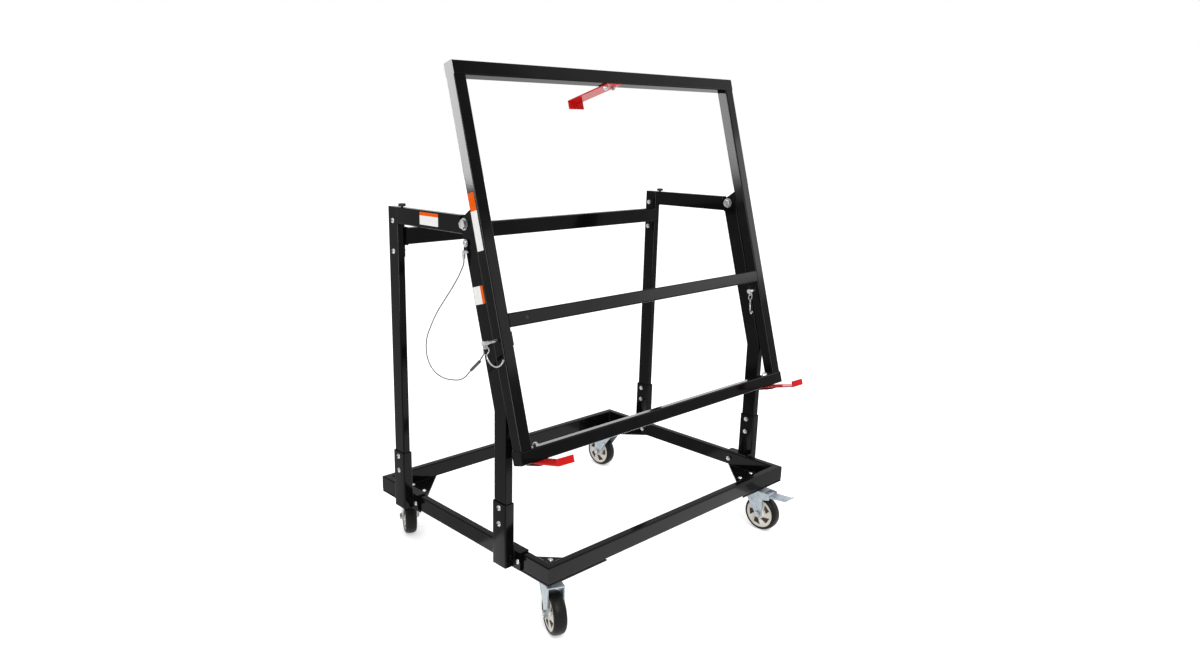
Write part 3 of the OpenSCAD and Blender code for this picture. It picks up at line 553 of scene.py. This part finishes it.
# lanyard clip: a domed bolt over a tab, a pale band and a crimped ferrule, measured from the pivot's axis at
# the left leg
clip = dict(
    slots=("zinc_fastener", "black_powder_coat", "clip_plastic", "bright_steel"), boltZ=-0.041, faceX=-0.010,
    washer=(0.0085, 0.0012), head=(0.0064, 0.0050), headSides=28, tab=(0.003, 0.014, 0.017), tabR=0.009,
    band=(0.0082, 0.0098, 0.0056), bandZ=-0.0592, ferruleX=-0.018, ferruleR=0.0035, ferrule=(-0.074, -0.056),
    grooves=(-0.070, -0.0665, -0.063), grooveOut=0.0004, grooveH=0.0014)


def markNew(bm, before, index):
    for face in bm.faces:
        if face not in before:
            face.material_index = index


def addRound(bm, radius, depth, matrix, index, segments=32):
    before = set(bm.faces)
    bmesh.ops.create_cone(bm, cap_ends=True, segments=segments, radius1=radius, radius2=radius, depth=depth,
                          matrix=matrix)
    markNew(bm, before, index)


def addDome(bm, radius, height, matrix, index):
    # half an ellipsoid that stands on its flat side along +Z
    before = set(bm.faces)
    made = bmesh.ops.create_uvsphere(bm, u_segments=clip["headSides"], v_segments=clip["headSides"] // 2,
                                     radius=1)
    verts = made["verts"]
    bmesh.ops.scale(bm, vec=(radius, radius, height), verts=verts)
    low = [v for v in verts if v.co.z < -joinGap]
    bmesh.ops.delete(bm, geom=low, context="VERTS")
    rim = [e for e in bm.edges if e.is_boundary]
    bmesh.ops.holes_fill(bm, edges=rim, sides=0)
    bmesh.ops.transform(bm, matrix=matrix, verts=[v for v in verts if v.is_valid])
    markNew(bm, before, index)


def addBox(bm, size, matrix, index):
    before = set(bm.faces)
    bmesh.ops.create_cube(bm, size=1, matrix=matrix @ Matrix.Diagonal((*size, 1)))
    markNew(bm, before, index)


def makeClip():
    c = clip
    bm = bmesh.new()
    root = Matrix.Translation(cartPoint(-cart["legX"], pivotY, cart["pivotH"]))
    outward = Matrix.Rotation(-pi / 2, 4, "Y")
    washerR, washerT = c["washer"]
    tabT = c["tab"][0]
    tabX = c["faceX"] - tabT

    def at(x, z):
        return root @ Matrix.Translation((x, 0, z))

    addDome(bm, *c["head"], at(tabX - washerT, c["boltZ"]) @ outward, 0)
    addRound(bm, washerR, washerT, at(tabX - washerT / 2, c["boltZ"]) @ outward, 0)
    addRound(bm, c["tabR"], tabT, at(c["faceX"] - tabT / 2, c["boltZ"]) @ outward, 1)
    addBox(bm, c["tab"], at(c["faceX"] - tabT / 2, c["boltZ"] - c["tab"][2] / 2), 1)
    addBox(bm, c["band"], at(c["faceX"] - c["band"][0] / 2, c["bandZ"]), 2)
    low, high = c["ferrule"]
    addRound(bm, c["ferruleR"], high - low, at(c["ferruleX"], (low + high) / 2), 3)
    for z in c["grooves"]:
        addRound(bm, c["ferruleR"] + c["grooveOut"], c["grooveH"], at(c["ferruleX"], z), 3)
    obj = addPiece(bm, "lanyardClip", "chassis", "clip_plastic", [finish[name] for name in c["slots"]])
    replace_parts(obj, "lanyard_clip")


makeClip()

# painted shade: flat dark hexagons on the domed bolt heads of the leg sockets, their saddles and the
# crossbar's end plates, standing in for the shade inside the heads' hex sockets
sockets = dict(radius=0.0026, depth=0.0010, sides=6, dome=0.0044, proud=0.00005, socketH=(0.140, 0.102),
               saddleOut=0.034, saddleX=0.457, flangeZ=0.037)


def makeBoltSocketShade():
    c = sockets
    places = []
    for side in (-1, 1):
        for legY, way in ((cart["frontLegY"], side), (cart["rearLegY"], -1)):
            faceX = cart["legX"] + cart["socketW"] / 2
            places += [(side, faceX, legY, cart["socketZ"] + h) for h in c["socketH"]]
            barMiddle = cart["barZ"] + cart["barH"] / 2
            places.append((side, c["saddleX"], legY + way * c["saddleOut"], barMiddle))
        legFace = cart["legX"] + cart["legW"] / 2
        places += [(side, legFace, cart["rearLegY"], cart["crossZ"] + k * c["flangeZ"]) for k in (-1, 1)]
    bm = bmesh.new()
    sideways = Matrix.Rotation(pi / 2, 4, "Y")
    for side, x, y, z in places:
        middle = cartPoint(side * (x + c["dome"] - c["depth"] / 2 + c["proud"]), y, z)
        addRound(bm, c["radius"], c["depth"], Matrix.Translation(middle) @ sideways, 0, c["sides"])
    # the hexagons are painted shade in black rubber, barely proud of the heads, where the hex sockets'
    # recesses would be dark
    addPiece(bm, "boltSocketShade", "chassis", "black_rubber", smooth=False)


makeBoltSocketShade()
print("bolts and clip dressed")

# caster dressing: a rolled race ring under each plate and grip ridges on the pedals
casters = dict(inset=0.054, ringR=0.0272, ringT=0.0018, ringZ=0.1262, pedalX=0.058, pedalZ=0.109,
               ringSides=12, ringSteps=48, ridges=(0.026, 0.033, 0.040, 0.047), ridgeR=0.0013,
               ridgeLength=0.026, ridgeSides=14, ridgeZ=0.0028, ridgeRise=0.0636,
               swivels=[("front_left", -1, -1, 246), ("front_right", 1, -1, 270),
                        ("rear_left", -1, 1, 64), ("rear_right", 1, 1, 90)])


def makeCasterDressing():
    c = casters
    rings = bmesh.new()
    for name, sideX, sideY, angle in c["swivels"]:
        x = sideX * (cart["baseW"] / 2 - c["inset"])
        y = c["inset"] if sideY < 0 else cart["baseD"] - c["inset"]
        upright = Matrix.Translation((c["ringR"], 0, 0)) @ Matrix.Rotation(pi / 2, 4, "X")
        circle = bmesh.ops.create_circle(rings, segments=c["ringSides"], radius=c["ringT"], matrix=upright)
        edges = list({e for v in circle["verts"] for e in v.link_edges})
        before = set(rings.verts) - set(circle["verts"])
        bmesh.ops.spin(rings, geom=circle["verts"] + edges, cent=(0, 0, 0), axis=(0, 0, 1), angle=2 * pi,
                       steps=c["ringSteps"], use_merge=True)
        added = [v for v in rings.verts if v not in before]
        bmesh.ops.translate(rings, vec=cartPoint(x, y, c["ringZ"]), verts=added)
        if sideX < 0:
            continue
        ridges = bmesh.new()
        for reach in c["ridges"]:
            made = bmesh.ops.create_cone(ridges, cap_ends=True, segments=c["ridgeSides"], radius1=c["ridgeR"],
                                         radius2=c["ridgeR"], depth=c["ridgeLength"])
            z = c["ridgeZ"] + reach * c["ridgeRise"]
            place = (Matrix.Translation(cartPoint(x, y, c["pedalZ"]))
                     @ Matrix.Rotation(radians(angle), 4, "Z")
                     @ Matrix.Translation((c["pedalX"] + reach, 0, z)) @ Matrix.Rotation(pi / 2, 4, "X"))
            bmesh.ops.transform(ridges, matrix=place, verts=made["verts"])
        addPiece(ridges, name + "PedalGrip", name + "_pedal_body", "grey_pedal")
    addPiece(rings, "casterRaceRings", "chassis", "zinc_plate")


makeCasterDressing()

# wheels: a tyre with a full round crown, and painted shade in the hub's pockets: their floors and walls take
# a darker colour in place of the shade inside them
wheels = dict(halfWidth=0.016, innerR=0.0411, outerR=0.050, curve=2.6, steps=20, turns=72,
              pocket=(0.0155, 0.0345), face=0.0139)


def nodeMiddle(node):
    points = [v.co for v in frame["nodes"][node].data.vertices]
    return Vector([(min(p[i] for p in points) + max(p[i] for p in points)) / 2 for i in range(3)])


def makeWheel(name, angle):
    c = wheels
    bm = bmesh.new()
    ring = []
    for i in range(c["steps"] + 1):
        u = -cos(pi * i / c["steps"])
        crown = max(0, 1 - abs(u) ** c["curve"]) ** (1 / c["curve"])
        ring.append(bm.verts.new((c["innerR"] + (c["outerR"] - c["innerR"]) * crown, u * c["halfWidth"], 0)))
    edges = [bm.edges.new((a, b)) for a, b in zip(ring, ring[1:] + ring[:1])]
    bmesh.ops.spin(bm, geom=ring + edges, cent=(0, 0, 0), axis=(0, 1, 0), angle=2 * pi, steps=c["turns"],
                   use_merge=True)
    turn = Matrix.Rotation(radians(angle), 4, "Z")
    place = Matrix.Translation(nodeMiddle(name + "_tyre")) @ turn
    bmesh.ops.transform(bm, matrix=place, verts=bm.verts[:])
    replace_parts(addPiece(bm, name + "Tyre", name + "_wheel", "black_tread"), name + "_tyre")
    source = frame["nodes"][name + "_hub"]
    bm = bmesh.new()
    bm.from_mesh(source.data)
    bmesh.ops.remove_doubles(bm, verts=bm.verts[:], dist=joinGap)
    middle = nodeMiddle(name + "_hub")
    axle = turn.to_3x3() @ Vector((0, 1, 0))
    for face in bm.faces:
        away = face.calc_center_median() - middle
        along = away.dot(axle)
        across = (away - along * axle).length
        # faces on the pockets' floors and walls get the painted pocket shade
        face.material_index = int(c["pocket"][0] < across < c["pocket"][1] and abs(along) < c["face"])
    materials = [finish["cream_hub"], finish["hub_pocket_shade"]]
    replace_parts(addPiece(bm, name + "Hub", name + "_wheel", "cream_hub", materials), name + "_hub")


for name, _, _, angle in casters["swivels"]:
    makeWheel(name, angle)
print("casters dressed")

# floor and studio light: seen directly or in a reflection, the surroundings are white
studio = dict(floor=(0.90, 0.90, 0.90), floorSize=14, floorRough=0.8, floorLevel=0.1, lift=0.42, world=0.62,
              key=1.5, fill=26, top=30, rail=1050, edge=430, front=28, low=15,
              upperFrame=("left_rail", "right_rail", "top_bar"))


def seenLevel(tree, unseen, seen):
    rays = tree.nodes.new("ShaderNodeLightPath")
    total = rays.outputs["Is Camera Ray"]
    for kind in ("Is Glossy Ray", "Is Transmission Ray"):
        add = tree.nodes.new("ShaderNodeMath")
        add.operation = "ADD"
        add.use_clamp = True
        tree.links.new(total, add.inputs[0])
        tree.links.new(rays.outputs[kind], add.inputs[1])
        total = add.outputs["Value"]
    return spread(tree, total, unseen, seen, 0, 1)


def makeFloor():
    bm = bmesh.new()
    bmesh.ops.create_grid(bm, x_segments=1, y_segments=1, size=studio["floorSize"])
    mesh = bpy.data.meshes.new("floor")
    bm.to_mesh(mesh)
    bm.free()
    floor = bpy.data.objects.new("floor", mesh)
    bpy.context.scene.collection.objects.link(floor)
    mat, tree, shader = nodeTree("floorPaper")[:3]
    shader.inputs["Base Color"].default_value = (*studio["floor"], 1)
    shader.inputs["Roughness"].default_value = studio["floorRough"]
    shader.inputs["Specular IOR Level"].default_value = studio["floorLevel"]
    shader.inputs["Emission Color"].default_value = (1, 1, 1, 1)
    tree.links.new(seenLevel(tree, 0, studio["lift"]), shader.inputs["Emission Strength"])
    mesh.materials.append(mat)


def makeWorld():
    world = bpy.data.worlds.new("studio")
    bpy.context.scene.world = world
    world.use_nodes = True
    back = world.node_tree.nodes["Background"]
    back.inputs["Color"].default_value = (1, 1, 1, 1)
    world.node_tree.links.new(seenLevel(world.node_tree, studio["world"], 1), back.inputs["Strength"])


def gather(name, pieces):
    collection = bpy.data.collections.new(name)
    for piece in pieces:
        collection.objects.link(piece)
    return collection


def makeLamps():
    black = finish["black_powder_coat"]
    meshes = [piece for piece in bpy.context.scene.objects if piece.type == "MESH" and piece.data.materials]
    blackPieces = gather("blackPieces", [piece for piece in meshes if piece.data.materials[0] == black])
    railPieces = gather("railPieces", [frame["nodes"][name] for name in studio["upperFrame"]])
    # the last four panels only show as highlights in the gloss of the black coat, the first of them on the
    # table's upper frame alone
    lamps = [
        ("keySun", "SUN", (-2, -3, 5), (0, 0, 0.6), studio["key"], (radians(25), 0), None),
        ("fillPanel", "AREA", (3.2, -1.6, 2.2), (0, 0, 0.6), studio["fill"], (2.4, 2.4), None),
        ("topPanel", "AREA", (-0.6, 0.4, 3.6), (0, 0, 0.6), studio["top"], (2.8, 2.8), None),
        ("railPanel", "AREA", (-2.5, 2.7, 2.05), (0, 0, 1.6), studio["rail"], (2.6, 2.6), railPieces),
        ("edgePanel", "AREA", (-3.2, -1.1, 1.2), (0, 0, 0.9), studio["edge"], (2.6, 2.6), blackPieces),
        ("frontPanel", "AREA", (2.1, -2.1, 1.5), (0, 0.1, 0.75), studio["front"], (2.8, 0.8), blackPieces),
        ("lowPanel", "AREA", (-0.1, -0.6, 0.02), (-0.1, -0.6, 1), studio["low"], (1.3, 1.4), blackPieces)]
    for name, kind, place, aim, power, spreadSize, shownIn in lamps:
        lamp = bpy.data.lights.new(name, kind)
        lamp.energy = power
        if kind == "SUN":
            lamp.angle = spreadSize[0]
        else:
            lamp.shape = "RECTANGLE"
            lamp.size, lamp.size_y = spreadSize
        obj = bpy.data.objects.new(name, lamp)
        obj.location = place
        obj.rotation_euler = (Vector(aim) - Vector(place)).to_track_quat("-Z", "Y").to_euler()
        if shownIn is not None:
            obj.light_linking.receiver_collection = shownIn
            obj.light_linking.blocker_collection = blackPieces
            obj.visible_diffuse = False
        obj.visible_camera = False
        bpy.context.scene.collection.objects.link(obj)


makeFloor()
makeWorld()
makeLamps()
bpy.context.scene.view_settings.view_transform = "Standard"
print("studio lit")
